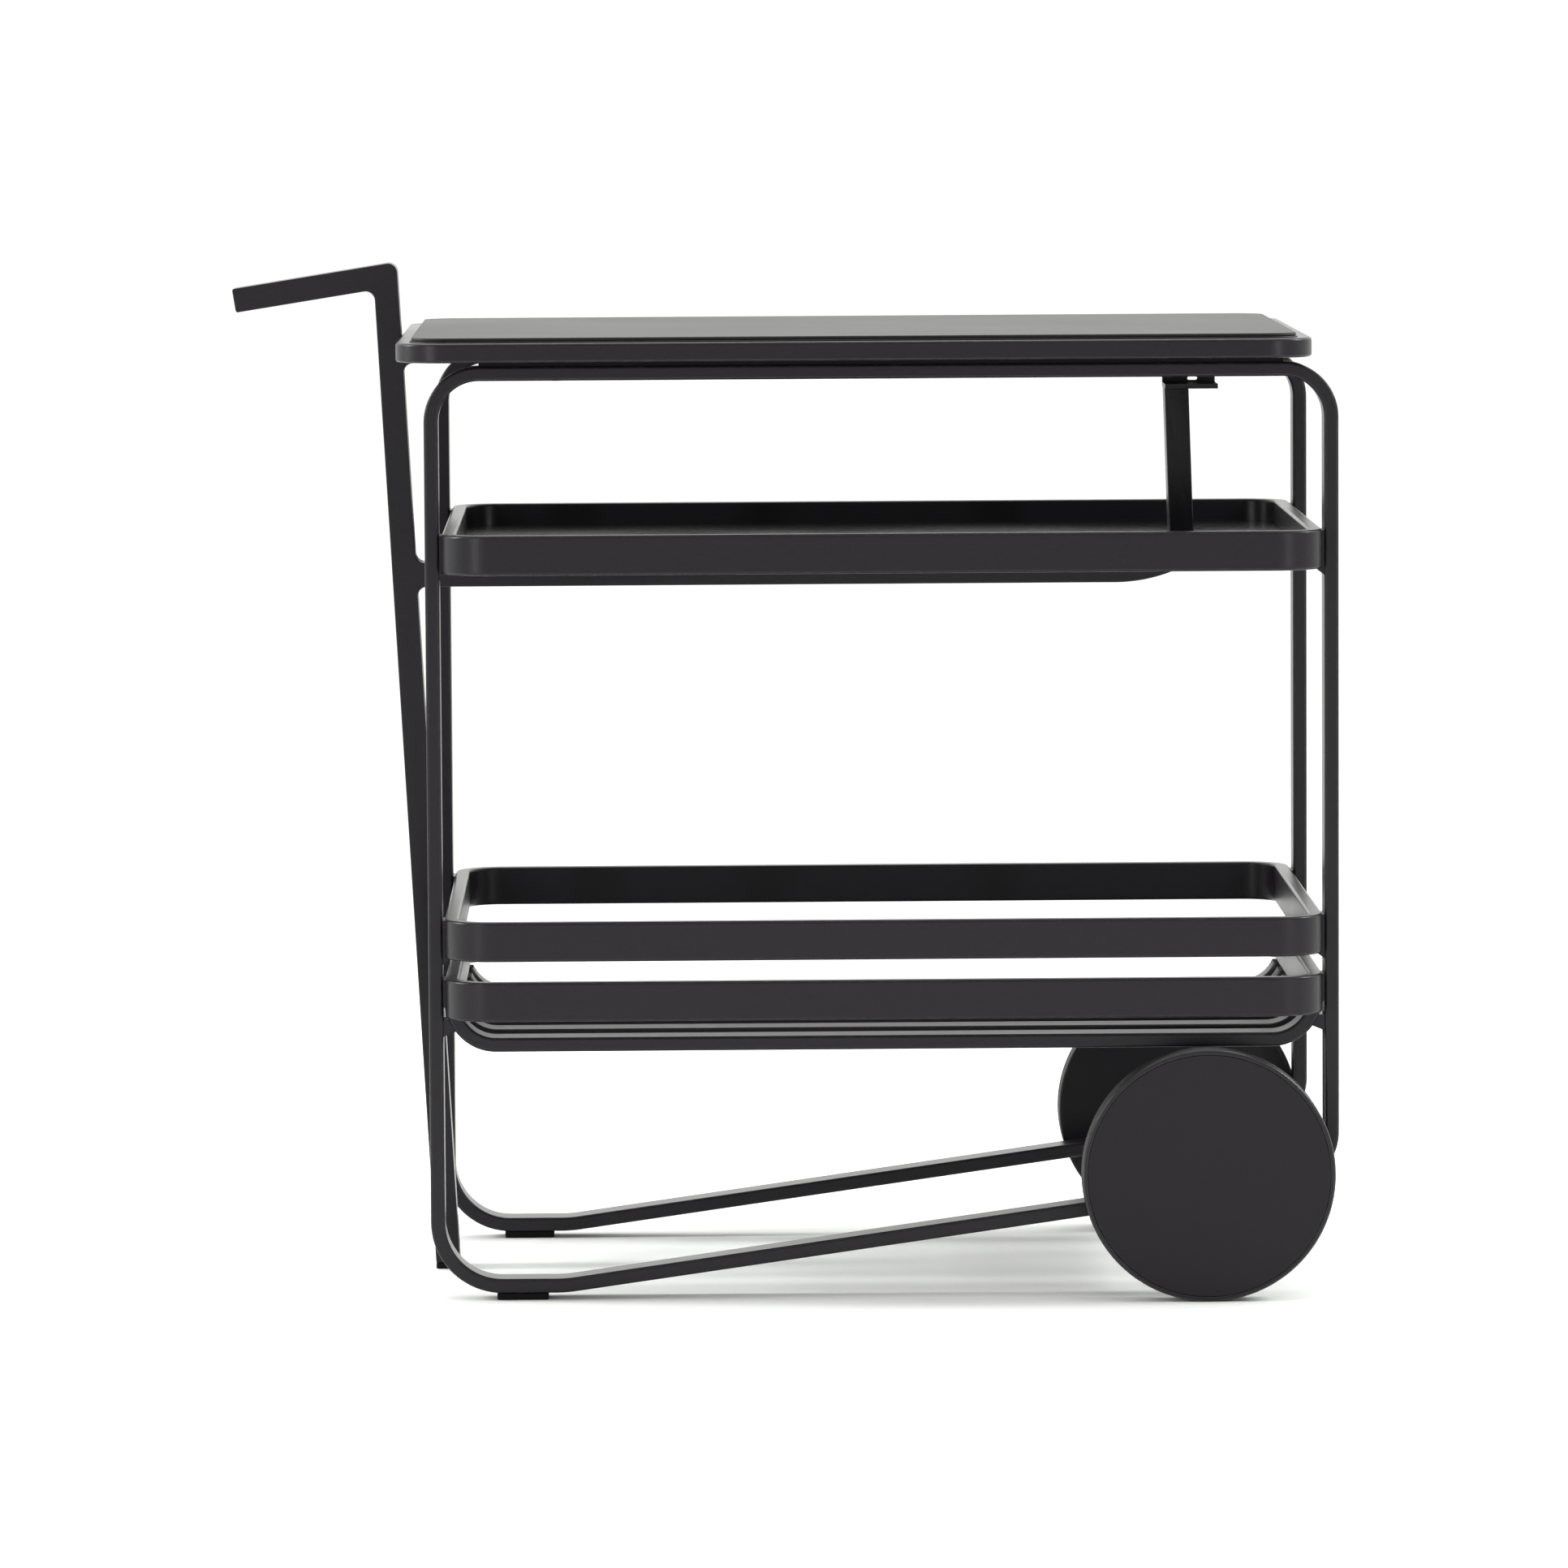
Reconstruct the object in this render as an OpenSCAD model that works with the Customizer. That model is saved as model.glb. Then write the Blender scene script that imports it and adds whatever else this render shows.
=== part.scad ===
/* [Stock] */
// Thickness of the flat bar that frames, rings and slats are bent from
bar_t = 12; // [8:0.5:16]
// Width of that flat bar
bar_w = 33; // [24:1:40]
// Radius of the bar's long edges
edge_r = 2; // [1:0.5:3]
// Outer radius of the bar's ordinary bends
bend_r = 46; // [36:1:60]

/* [Frames] */
// Length of each upright frame over its legs
frame_l = 760; // [620:5:920]
// Height of each upright frame without its foot pad
frame_h = 775; // [730:5:930]
// Outer radius of the low bend at the handle end
low_bend_r = 60; // [50:1:80]
// Length of the flat run that stands on the foot pad
flat_l = 53; // [44:1:80]

/* [Rings] */
// Depth over the rings, the top and the wheels
rings_w = 500; // [460:2:600]
// Distance of the frames inside the rings' outer faces
frame_inset = 40; // [40:1:60]
// Outer plan radius of the ring corners
ring_r = 40; // [30:1:40]
// Space between a leg and the end of a ring
ring_gap = 2; // [1:0.5:4]
// Height of the middle tray's upper edge
tray_top = 642.5; // [560:2.5:680]
// Height of the guard rail's upper edge
rail_top = 321.5; // [310:0.5:400]
// Height of the shelf ring's upper edge
shelf_top = 271.5; // [262:0.5:274]
// Side of the small gussets under the ring ends
gusset = 6; // [4:0.5:9]

/* [Trays] */
// Depth of the middle tray's floor below its upper edge
floor_drop = 18.5; // [12:0.5:22]
// Thickness of the middle tray's floor sheet
floor_t = 3; // [2:0.5:5]
// Number of slats in the bottom shelf
slat_count = 7; // [7]
// Drop of the slats' undersides below the shelf ring
slat_drop = 29.5; // [24:0.5:34]
// Outer radius of the slats' bent ends
slat_bend_r = 42; // [36:1:48]

/* [Top] */
// Height of the top's rim
rim_h = 16.2; // [12:0.2:24]
// Thickness of the top's sheet
plate_t = 3; // [2:0.5:5]
// Gap between the rim's upper edge and the sheet
plate_lift = 1.1; // [0.5:0.1:3]
// Inset of the sheet's edge from the rim's outer face
plate_inset = 13; // [6:0.5:20]
// Thickness of the strips between the frames and the top
spacer_t = 4.5; // [3:0.5:8]

/* [Handle spine] */
// Width of the spine bar across its flat sides, seen from the front
spine_t = 20.5; // [16:0.5:26]
// Distance from the frames to the tip of the grip
grip_reach = 167; // [120:1:220]
// Height of the grip's highest point over the top
handle_rise = 57; // [45:0.5:120]
// Slope of the grip
grip_angle = 9; // [0:0.5:20]
// Lean of the spine's upright
spine_lean = 3.1; // [1:0.1:4]
// Middle of the spine's foot, from the frames' outer face
spine_foot_x = 9.5; // [6:0.5:12]
// Outer radius of the handle's corner
handle_outer_r = 8; // [5:0.5:14]
// Inner radius of the handle's corner and of the arm's roots
handle_inner_r = 8; // [4:0.5:12]
// Radius of the arm's tapered end
arm_end_r = 152; // [100:1:200]
// Thickness of the arm under the top
top_arm_t = 9; // [6:0.5:14]
// Space between the arm and the middle tray
arm_gap = 3; // [1:0.5:6]

/* [Post] */
// Distance of the post's foot from the wheel end of the frames
post_inset = 120; // [100:1:200]
// Lean of the post
post_lean = 1.8; // [0:0.1:3]
// Length of the bracket on the post
bracket_l = 45; // [36:1:60]
// Depth of that bracket
bracket_d = 50; // [40:1:70]
// Height of that bracket
bracket_h = 25.5; // [20:0.5:34]
// Thickness of the bracket's sheet
bracket_t = 4; // [3:0.5:5]
// Length of the slot in the bracket's back
slot_l = 8.5; // [7:0.5:14]
// Height of that slot
slot_h = 3; // [2.5:0.5:6]

/* [Wheels] */
// Wheel diameter over the tyre
wheel_d = 211; // [170:1:230]
// Wheel thickness
wheel_t = 30; // [26:1:31]
// Distance of the axle from the wheel end of the frames
axle_inset = 111; // [90:1:160]
// Thickness of the tyre band
tyre_t = 4; // [3:0.5:8]
// Axle diameter
axle_d = 12; // [10:0.5:16]
// Outer diameter of the tube that the axle lies in
tube_d = 22; // [20:0.5:24]
// Clear height between that tube and the frames' bottom bars
tube_lift = 1.3; // [1:0.1:3]
// Outer diameter of the wheel bushes
bush_d = 18; // [15:0.5:22]
// Diameter of the bush flanges, spacers and washers
flange_d = 26; // [24:1:32]
// Radial clearance of a bush on the axle
bush_clearance = 0.05; // [0.02:0.01:0.1]
// Thickness of the cover on the wheel's outer face
cover_t = 3; // [2:0.5:5]

/* [Feet and screws] */
// Thickness of the foot pads
pad_t = 6; // [4:0.5:10]
// Length of the foot pads
pad_l = 43; // [30:1:44]
// Distance of the foot pads from the middle of the flat run
pad_shift = 10; // [0:0.5:12]
// Diameter of the screws that hold the feet
foot_screw_d = 5; // [4:0.5:6]
// Diameter of the screws that hold the top
top_screw_d = 6; // [5:0.5:8]

/* [Hidden] */
$fn = 64;
arc_steps = 16;

// Levels above the floor
frame_bottom = pad_t;
frame_top = frame_bottom + frame_h;
rim_bottom = frame_top + spacer_t;
rim_top = rim_bottom + rim_h;
plate_bottom = rim_top + plate_lift;
handle_h = plate_bottom + plate_t + handle_rise;
top_arm_bottom = rim_bottom - top_arm_t;
tray_bottom = tray_top - bar_w;
floor_top = tray_top - floor_drop;
arm_top = tray_bottom - arm_gap;
arm_bottom = arm_top - spine_t;
rail_bottom = rail_top - bar_w;
shelf_bottom = shelf_top - bar_w;
slat_bottom = shelf_bottom - slat_drop;
bracket_bottom = top_arm_bottom - bracket_h;
axle_z = wheel_d / 2;

// Places along the cart, from the outer face of the frames' legs at the handle end
arm_past_post = 15;
frame_left = (grip_reach - frame_l) / 2;
ring_left = bar_t + ring_gap;
ring_l = frame_l - 2 * ring_left;
top_left = spine_side(rim_bottom);
top_l = frame_l;
axle_x = frame_l - axle_inset;
post_x = frame_l - post_inset;
flat_start = low_bend_r;
flat_end = flat_start + flat_l;
pad_x = flat_start + (flat_l - pad_l) / 2 - pad_shift;
arm_end_x = post_x + arm_past_post;
bracket_left = post_middle(bracket_bottom) - spine_t / 2 / cos(post_lean);

// Places across the cart
frames_w = rings_w - 2 * frame_inset;
frame_y = (frames_w - bar_w) / 2;
ring_inner_w = rings_w - 2 * bar_t;
wheel_outer = rings_w / 2;
wheel_inner = wheel_outer - wheel_t;
slat_pitch = 2 * frame_y / (slat_count - 1);

// Screws and their clearances
foot_head_d = 2 * foot_screw_d - 1;
foot_head_h = 3;
foot_screw_l = 14;
foot_head_z = 1;
top_head_d = 10;
top_head_h = 4;
head_proud = 0.5;
screw_gap = 0.25;
top_screw_reach = 11;
top_screw_inset = [110, 140];
top_screw_x = [top_screw_inset[0], frame_l - top_screw_inset[1]];
bracket_screw_d = 4;
bracket_head_d = 8;
bracket_head_h = 2.4;
bracket_screw_reach = 8;
bracket_screw_inset = 10;
bracket_screw_x = [bracket_left + bracket_screw_inset, bracket_left + bracket_l - bracket_screw_inset];

// Wheel hub
bush_flange_t = 1.5;
bush_split = 2;
axial_gap = 0.3;
recess_d = 40;
recess_h = 8;
washer_t = 1.5;
clip_t = 1.2;
clip_depth = 1;
clip_wall = 3;
clip_opening = 70;
groove_gap = 0.1;
core_outer = wheel_outer - cover_t;
hub_outer = core_outer - recess_h;
clip_start = hub_outer + bush_flange_t + 2 * axial_gap + washer_t;
axle_end = 1.5;
axle_half = clip_start + clip_t + groove_gap + axle_end;
spacer_end = wheel_inner - bush_flange_t - axial_gap;
tube_wall_gap = 0.3;
saddle_l = 44;

// The bottom bar rises from the flat run until it passes just under the axle's tube
rise_bend_r = 120;
rise_h = axle_z - tube_d / 2 - tube_lift - frame_bottom;
rise_l = axle_x - flat_end;
rise_angle = acos(bar_t / norm([rise_h, rise_l])) - atan2(rise_l, rise_h);

function spine_middle(z) = spine_foot_x - (z - pad_t) * tan(spine_lean);
function spine_side(z) = spine_middle(z) + spine_t / 2 / cos(spine_lean);
function post_middle(z) = post_x - (z - floor_top) * tan(post_lean);
function rise_at(x, in) = frame_bottom + (x - flat_end) * tan(rise_angle) + in / cos(rise_angle);
function slat_y(i) = -frame_y + (i - 1) * slat_pitch;

// Everything is drawn from the frames' outer face, then centred on the floor
module placed() {
    translate([frame_left, 0, 0]) children();
}

// Section of a bar: thickness along x, width along y
module section(t, w) {
    square([t - 2 * edge_r, w], center = true);
    square([t, w - 2 * edge_r], center = true);
    for (sx = [-1, 1], sy = [-1, 1])
        translate([sx * (t / 2 - edge_r), sy * (w / 2 - edge_r)]) circle(edge_r, $fn = 32);
}

// Straight run of bar in the XZ plane, from a point, in a direction, for a length
module run(from, angle, length) {
    translate([from[0], 0, from[1]]) rotate([0, 90 - angle, 0]) linear_extrude(length) section(bar_t, bar_w);
}

// Bend of bar in the XZ plane about a centre, at its middle radius, between two angles
module bend(centre, r, a0, a1) {
    translate([centre[0], 0, centre[1]]) rotate([90, 0, 0]) rotate([0, 0, a0])
        rotate_extrude(angle = a1 - a0) translate([r, 0]) section(bar_t, bar_w);
}

// Points along the round corner at b between a and c, each given as [x, z, corner radius]
function corner(a, b, c) =
    let (to_a = flat(a) - flat(b), to_c = flat(c) - flat(b),
        u = to_a / norm(to_a), v = to_c / norm(to_c),
        half = acos(u * v) / 2,
        centre = flat(b) + (u + v) / norm(u + v) * b[2] / sin(half),
        start = flat(b) + u * b[2] / tan(half) - centre,
        turn = (180 - 2 * half) * (cross(v, u) > 0 ? 1 : -1))
    b[2] == 0 ? [flat(b)] : [for (i = [0:arc_steps]) centre + turned(start, turn * i / arc_steps)];
function flat(p) = [p[0], p[1]];
function turned(p, a) = [p[0] * cos(a) - p[1] * sin(a), p[0] * sin(a) + p[1] * cos(a)];
function rounded(path) =
    let (n = len(path)) [for (i = [0:n - 1]) each corner(path[(i + n - 1) % n], path[i], path[(i + 1) % n])];

// Plate between two depths across the cart, from its rounded outline in the XZ plane
module upright_plate(w) {
    translate([0, w / 2, 0]) rotate([90, 0, 0]) linear_extrude(w) children();
}

// Outline of one upright frame, as far inside its outer faces as in says
module frame_outline(in) {
    shift = in * tan(rise_angle / 2);
    polygon(rounded([
        [in, frame_bottom + in, low_bend_r - in],
        [flat_end - shift, frame_bottom + in, rise_bend_r - in],
        [frame_l - in, rise_at(frame_l - in, in), bend_r - in],
        [frame_l - in, frame_top - in, bend_r - in],
        [in, frame_top - in, bend_r - in]
    ]));
}

// Upright frame with the holes for its foot screw and its two top screws
module frame(side) {
    color("#313033") placed() translate([0, side * frame_y, 0]) difference() {
        upright_plate(bar_w) difference() {
            frame_outline(0);
            frame_outline(bar_t);
        }
        translate([pad_x + pad_l / 2, 0, frame_bottom - 1]) cylinder(d = foot_screw_d, h = bar_t + 2);
        for (x = top_screw_x) translate([x, 0, frame_top - bar_t - 1]) {
            cylinder(d = top_screw_d + 2 * screw_gap, h = bar_t + 2);
            cylinder(d = top_head_d + 2 * screw_gap, h = top_head_h + 1);
        }
    }
}
module front_frame() { frame(-1); }
module back_frame() { frame(1); }

// Ring of upright bar with rounded plan corners, by its outer length, width, height and top level
module ring(x0, l, w, h, z) {
    m = bar_t / 2;
    translate([x0 + l / 2, 0, z - h / 2]) for (s = [-1, 1]) {
        translate([-l / 2 + ring_r, s * (w / 2 - m), 0]) rotate([0, 90, 0]) rotate([0, 0, 90])
            linear_extrude(l - 2 * ring_r) section(bar_t, h);
        translate([s * (l / 2 - m), w / 2 - ring_r, 0]) rotate([90, 0, 0])
            linear_extrude(w - 2 * ring_r) section(bar_t, h);
        for (q = [0, 1]) translate([s * (l / 2 - ring_r), (q == 0 ? 1 : -1) * s * (w / 2 - ring_r), 0])
            rotate([0, 0, (s == 1 ? 0 : 180) - q * 90]) rotate_extrude(angle = 90)
                translate([ring_r - m, 0]) section(bar_t, h);
    }
}
module middle_tray_rim() { color("#333236") placed() ring(ring_left, ring_l, rings_w, bar_w, tray_top); }
module upper_rail() { color("#333236") placed() ring(ring_left, ring_l, rings_w, bar_w, rail_top); }
module lower_rail() { color("#333236") placed() ring(ring_left, ring_l, rings_w, bar_w, shelf_top); }
module top_rim() { color("#333236") placed() ring(top_left, top_l, rings_w, rim_h, rim_top); }

// Flat sheet with rounded corners, centred across the cart
module sheet(x0, l, w, r, z, t) {
    translate([x0, -w / 2, z]) {
        translate([r, 0, 0]) cube([l - 2 * r, w, t]);
        translate([0, r, 0]) cube([l, w - 2 * r, t]);
        for (x = [r, l - r], y = [r, w - r]) translate([x, y, 0]) cylinder(r = r, h = t);
    }
}
module middle_tray_floor() {
    color("#3a3a3c") placed()
        sheet(ring_left + bar_t, ring_l - 2 * bar_t, ring_inner_w, ring_r - bar_t,
            floor_top - floor_t, floor_t);
}

// Two ribs that carry the floor sheet and reach down to the arm's pads
module middle_tray_ribs() {
    rib_h = floor_top - floor_t - tray_bottom;
    color("#2c2c2e") placed() for (x = rib_x()) translate([x - bar_t / 2, -ring_inner_w / 2, tray_bottom])
        cube([bar_t, ring_inner_w, rib_h]);
}
function rib_x() = [ring_left + ring_l / 3, ring_left + ring_l * 2 / 3];

// Pads between the arm and the tray: one under the ring's end and one under each rib
module arm_pads() {
    color("#2c2c2e") placed() for (x = concat([ring_left + bar_t / 2], rib_x()))
        translate([x - bar_t / 2 + edge_r, -bar_w / 2 + edge_r, arm_top])
            cube([bar_t - 2 * edge_r, bar_w - 2 * edge_r, arm_gap]);
}

// Pads between ring ends and legs, with a small gusset under each
module ring_gussets(bottom, height) {
    color("#2c2c2e") placed() for (side = [-1, 1]) translate([0, side * frame_y, 0])
        for (far = [0, 1]) translate([far * frame_l, 0, 0]) mirror([far, 0, 0])
            upright_plate(bar_w - 2 * edge_r)
                polygon([[bar_t, bottom - gusset], [ring_left + gusset, bottom], [ring_left, bottom],
                    [ring_left, bottom + height], [bar_t, bottom + height]]);
}
module middle_tray_gussets() { ring_gussets(tray_bottom, bar_w - edge_r); }
module upper_rail_gussets() { ring_gussets(rail_bottom, bar_w - edge_r); }

// Under the shelf ring a web fills the corner between the leg and the slat's bend, below an open slit
module lower_rail_gussets() {
    web_low = shelf_bottom - 16.5;
    web_l = 11;
    web_rise = 4.5;
    slit_low = shelf_bottom - 3;
    slit_high = shelf_bottom + 8;
    bend_x = ring_left + slat_bend_r;
    bend_z = slat_bottom + slat_bend_r;
    color("#2c2c2e") placed() for (side = [-1, 1]) translate([0, side * frame_y, 0])
        for (far = [0, 1]) translate([far * frame_l, 0, 0]) mirror([far, 0, 0])
            upright_plate(bar_w - 2 * edge_r) {
                translate([bar_t, slit_high]) square([ring_gap, shelf_top - edge_r - slit_high]);
                difference() {
                    polygon([[bar_t, web_low], [bar_t, slit_low], [bend_x, slit_low],
                        [bar_t + web_l, web_low + web_rise]]);
                    translate([bend_x, bend_z]) circle(slat_bend_r, $fn = 96);
                }
            }
}

// Slat: a flat bar with both ends bent up and cut level under the shelf ring
module slat(i) {
    m = bar_t / 2;
    left = ring_left + slat_bend_r;
    right = ring_left + ring_l - slat_bend_r;
    z = slat_bottom + slat_bend_r;
    color("#343337") placed() translate([0, slat_y(i), 0]) difference() {
        union() {
            run([left, slat_bottom + m], 0, right - left);
            bend([left, z], slat_bend_r - m, 180, 270);
            bend([right, z], slat_bend_r - m, 270, 360);
        }
        translate([0, -bar_w, shelf_bottom]) cube([frame_l, 2 * bar_w, slat_bend_r]);
    }
}
module shelf_slat_1() { slat(1); }
module shelf_slat_2() { slat(2); }
module shelf_slat_3() { slat(3); }
module shelf_slat_4() { slat(4); }
module shelf_slat_5() { slat(5); }
module shelf_slat_6() { slat(6); }
module shelf_slat_7() { slat(7); }

// Outline of the spine in the XZ plane: upright, arm under the tray, arm under the top, and grip
module spine_outline() {
    half = spine_t / 2 / cos(spine_lean);
    apex = [spine_side(handle_h), handle_h];
    tip = [-grip_reach, handle_h - (grip_reach + apex[0]) * tan(grip_angle)];
    tip_low = tip + spine_t * [sin(grip_angle), -cos(grip_angle)];
    inner = inner_corner(tip_low, half);
    arm_end_angle = acos(1 - spine_t / arm_end_r);
    arm_bend_x = arm_end_x - arm_end_r * (sin(arm_end_angle) - tan(arm_end_angle / 2));
    polygon(rounded([
        [spine_middle(pad_t) - half, pad_t, 0],
        [spine_middle(pad_t) + half, pad_t, 0],
        [spine_side(arm_bottom), arm_bottom, handle_inner_r],
        [arm_bend_x, arm_bottom, arm_end_r],
        [arm_end_x, arm_top, 0],
        [spine_side(arm_top), arm_top, handle_inner_r],
        [spine_side(top_arm_bottom), top_arm_bottom, handle_inner_r],
        [bracket_left + bracket_l, top_arm_bottom, 0],
        [bracket_left + bracket_l, rim_bottom, 0],
        [spine_side(rim_bottom), rim_bottom, 0],
        [apex[0], apex[1], handle_outer_r],
        [tip[0], tip[1], edge_r],
        [tip_low[0], tip_low[1], edge_r],
        [inner[0], inner[1], handle_inner_r]
    ]));
}

// Where the underside of the grip meets the left side of the upright
function inner_corner(low, half) =
    let (slope = tan(grip_angle), lean = tan(spine_lean),
        x = (spine_foot_x - half + lean * (pad_t - low[1] + low[0] * slope)) / (1 + lean * slope))
    [x, low[1] + (x - low[0]) * slope];

module handle_spine() {
    color("#302f32") placed() difference() {
        upright_plate(bar_w) spine_outline();
        for (x = bracket_screw_x) translate([x, 0, top_arm_bottom - 1])
            cylinder(d = bracket_screw_d + 2 * screw_gap, h = top_arm_t + 2);
    }
}
module spine_foot_pad() {
    color("#161617") placed() translate([spine_middle(pad_t) - spine_t / 2, -bar_w / 2 + edge_r, 0])
        cube([spine_t, bar_w - 2 * edge_r, pad_t]);
}

// Block that ties the spine to the end of the shelf ring
module spine_tie_block() {
    low = shelf_bottom + edge_r;
    high = shelf_top - edge_r;
    color("#2c2c2e") placed() upright_plate(bar_w - 2 * edge_r)
        polygon([[spine_side(low), low], [ring_left, low], [ring_left, high], [spine_side(high), high]]);
}

// Top: a core board inside the rim, and a sheet that stands just proud of both
module top_core() {
    core_t = plate_bottom - rim_bottom;
    color("#2a2a2b") placed() difference() {
        sheet(top_left + bar_t, top_l - 2 * bar_t, ring_inner_w, ring_r - bar_t, rim_bottom, core_t);
        for (side = [-1, 1], x = top_screw_x) translate([x, side * frame_y, rim_bottom - 1])
            cylinder(d = top_screw_d, h = top_screw_reach + 1.5);
        for (x = bracket_screw_x) translate([x, 0, rim_bottom - 1])
            cylinder(d = bracket_screw_d, h = bracket_screw_reach + 1.5);
    }
}
module top_plate() {
    color("#8c8f88") placed()
        sheet(top_left + plate_inset, top_l - 2 * plate_inset, rings_w - 2 * plate_inset,
            ring_r - plate_inset, plate_bottom, plate_t);
}
// Strips between the straight runs of the frames' top bars and the top
module top_spacers() {
    color("#161617") placed() for (side = [-1, 1]) translate([0, side * frame_y, frame_top]) difference() {
        translate([bend_r, -bar_w / 2 + edge_r, 0]) cube([frame_l - 2 * bend_r, bar_w - 2 * edge_r, spacer_t]);
        for (x = top_screw_x) translate([x, 0, -1]) cylinder(d = top_screw_d + 2 * screw_gap, h = spacer_t + 2);
    }
}
module top_screws() {
    seat = frame_top - bar_t + top_head_h - head_proud;
    socket_d = 4;
    socket_h = 2;
    color("#3c3c3e") placed() for (side = [-1, 1], x = top_screw_x) translate([x, side * frame_y, 0])
        difference() {
            union() {
                translate([0, 0, seat - top_head_h]) cylinder(d = top_head_d, h = top_head_h);
                translate([0, 0, seat]) cylinder(d = top_screw_d, h = rim_bottom + top_screw_reach - seat);
            }
            translate([0, 0, seat - top_head_h - 1]) cylinder(d = socket_d, h = socket_h + 1, $fn = 6);
        }
}

// Post from the tray's floor up to the bracket that carries the end of the top arm
module centre_post() {
    half = spine_t / 2 / cos(post_lean);
    color("#2f2e30") placed() upright_plate(bar_w)
        polygon([for (z = [floor_top, bracket_bottom]) [post_middle(z) - half, z],
            for (z = [bracket_bottom, floor_top]) [post_middle(z) + half, z]]);
}
module post_bracket() {
    slot_left = 21.5;
    slot_over_floor = 1.5;
    wall = 2 * bracket_t;
    color("#39393b") placed() translate([bracket_left, -bracket_d / 2, bracket_bottom]) difference() {
        cube([bracket_l, bracket_d, bracket_h]);
        translate([-1, -1, bracket_t]) cube([bracket_l + 2, bracket_d - bracket_t + 1, bracket_h - wall]);
        translate([slot_left + slot_h / 2, bracket_d + 1, bracket_t + slot_over_floor + slot_h / 2])
            rotate([90, 0, 0]) {
                cylinder(d = slot_h, h = bracket_t + 2);
                translate([slot_l - slot_h, 0, 0]) cylinder(d = slot_h, h = bracket_t + 2);
                translate([0, -slot_h / 2, 0]) cube([slot_l - slot_h, slot_h, bracket_t + 2]);
            }
        for (x = bracket_screw_x) translate([x - bracket_left, bracket_d / 2, bracket_h / 2])
            cylinder(d = bracket_screw_d + 2 * screw_gap, h = bracket_h);
    }
}
module bracket_screws() {
    color("#3c3c3e") placed() for (x = bracket_screw_x) translate([x, 0, 0]) {
        translate([0, 0, top_arm_bottom - bracket_t - bracket_head_h])
            cylinder(d = bracket_head_d, h = bracket_head_h);
        translate([0, 0, top_arm_bottom - bracket_t])
            cylinder(d = bracket_screw_d, h = bracket_t + top_arm_t + bracket_screw_reach);
    }
}

// Rubber pad under the flat run, with a counterbore for its screw
module foot_pad(side) {
    color("#141415") placed() translate([pad_x, side * frame_y - bar_w / 2 + edge_r, 0]) difference() {
        cube([pad_l, bar_w - 2 * edge_r, pad_t]);
        translate([pad_l / 2, bar_w / 2 - edge_r, -1]) {
            cylinder(d = foot_screw_d, h = pad_t + 2);
            cylinder(d = foot_head_d + 2 * screw_gap, h = foot_head_z + foot_head_h + 1);
        }
    }
}
module front_foot_pad() { foot_pad(-1); }
module back_foot_pad() { foot_pad(1); }
module foot_screws() {
    color("#3c3c3e") placed() for (side = [-1, 1])
        translate([pad_x + pad_l / 2, side * frame_y, foot_head_z]) {
            cylinder(d = foot_head_d, h = foot_head_h);
            cylinder(d = foot_screw_d, h = foot_screw_l);
        }
}

// Shape turned about the axle, from half-outlines in radius and distance across the cart
module on_axle(side) {
    placed() translate([axle_x, 0, axle_z]) rotate([side < 0 ? 90 : -90, 0, 0]) children();
}
module tube(d, bore, from, to) {
    translate([0, 0, from]) difference() {
        cylinder(d = d, h = to - from, $fn = 96);
        translate([0, 0, -1]) cylinder(d = bore, h = to - from + 2, $fn = 96);
    }
}

// Fixed axle with a groove near each end for the clips
module axle() {
    color("#6d6e70") on_axle(1) difference() {
        translate([0, 0, -axle_half]) cylinder(d = axle_d, h = 2 * axle_half);
        for (s = [0, 1]) mirror([0, 0, s])
            tube(axle_d + 2, axle_d - 2 * clip_depth, clip_start, clip_start + clip_t + groove_gap);
    }
}
module axle_tube() {
    color("#302f32") on_axle(1) tube(tube_d, axle_d + 2 * tube_wall_gap, -frames_w / 2, frames_w / 2);
}

// Blocks that carry the tube on the sloping bottom bars
module axle_saddles() {
    left = axle_x - saddle_l / 2;
    right = axle_x + saddle_l / 2;
    color("#302f32") placed() for (side = [-1, 1]) translate([0, side * frame_y, 0])
        upright_plate(bar_w - 2 * edge_r) difference() {
            polygon([[left, rise_at(left, bar_t)], [right, rise_at(right, bar_t)],
                [right, axle_z], [left, axle_z]]);
            translate([axle_x, axle_z]) circle(d = tube_d, $fn = 96);
        }
}
module axle_spacers() {
    color("#58595b") for (side = [-1, 1]) on_axle(side)
        tube(flange_d - 4, axle_d + 2 * tube_wall_gap, frames_w / 2, spacer_end);
}

// Wheel: core with a hub bore and a recess, tyre band, cover, bushes, washer and clip
module wheel_core(side) {
    color("#2d2c2f") on_axle(side) difference() {
        tube(wheel_d - 2 * tyre_t, bush_d, wheel_inner, core_outer);
        translate([0, 0, hub_outer]) cylinder(d = recess_d, h = recess_h + 1);
    }
}
module wheel_tyre(side) {
    lip = 1.5;
    color("#1b1b1c") on_axle(side) rotate_extrude($fn = 128)
        translate([wheel_d / 2 - tyre_t, wheel_inner]) polygon([[0, 0], [tyre_t - lip, 0], [tyre_t, lip],
            [tyre_t, wheel_t - lip], [tyre_t - lip, wheel_t], [0, wheel_t]]);
}
module wheel_cover(side) {
    color("#333236") on_axle(side) translate([0, 0, core_outer])
        cylinder(d = wheel_d - 2 * tyre_t, h = cover_t, $fn = 128);
}
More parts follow.
